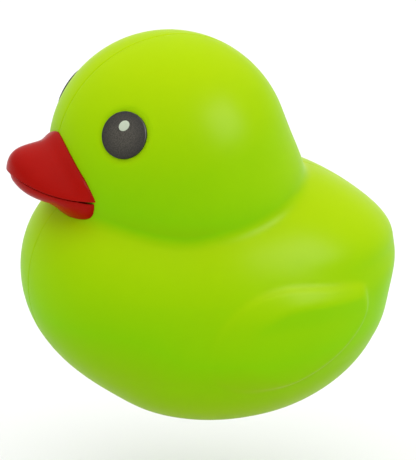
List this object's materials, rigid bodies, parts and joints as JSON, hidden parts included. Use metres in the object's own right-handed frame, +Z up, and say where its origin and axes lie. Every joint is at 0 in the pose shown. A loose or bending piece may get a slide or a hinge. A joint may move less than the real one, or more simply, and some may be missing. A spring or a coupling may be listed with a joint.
{
  "type": "floating chlorine dispenser",
  "caption": "Duck-shaped floating pool dispenser: hollow two-part float with a recessed slotted tablet canister, turning vented cap and dosing shutter in its base.",
  "frame": {"origin": "under the middle of the duck's outline, on the surface it stands on", "axes": "+Z up, -Y the way the duck faces, +X its left side"},
  "size_m": [0.1857, 0.2273, 0.2147],
  "materials": {
    "green_vinyl": "soft gloss",
    "red_plastic": "satin gloss",
    "eye_plastic": "gloss",
    "glint_plastic": "gloss",
    "clip_steel": "bright",
    "white_plastic": "moulded",
    "black_rubber": "matte",
    "ballast_iron": "black paint",
    "green_cap": "moulded",
    "dark_plastic": "moulded"
  },
  "bodies": {
    "float": {"shell_left": "green_vinyl", "shell_right": "green_vinyl", "beak_upper": "red_plastic", "beak_lower": "red_plastic", "eye_left": "eye_plastic", "eye_right": "eye_plastic", "eye_glints": "glint_plastic", "eye_clips": "clip_steel", "beak_clips": "clip_steel", "well_liner": "white_plastic", "well_gasket": "black_rubber", "well_screws": "clip_steel", "ballast_ring": "ballast_iron"},
    "canister": {"tablet_basket": "white_plastic", "tablet_grate": "white_plastic", "swivel_ring": "clip_steel"},
    "cap": {"base_cap": "green_cap", "cap_seal": "black_rubber", "spring_washer": "clip_steel", "shutter_retainer": "clip_steel"},
    "shutter": {"vent_shutter": "dark_plastic"}
  },
  "joints": [
    {"name": "canister_drop", "type": "slide", "parent": "float", "child": "canister", "axis": [0, 0, -1], "range_m": [0, 0.075]},
    {"name": "cap_turn", "type": "hinge", "parent": "canister", "child": "cap", "pos_m": [0, 0.0076, 0.004], "axis": [0, 0, 1], "range_deg": [0, 90]},
    {"name": "dose_set", "type": "hinge", "parent": "cap", "child": "shutter", "pos_m": [0, 0.0076, 0.0068], "axis": [0, 0, 1], "range_deg": [0, 15]}
  ]
}
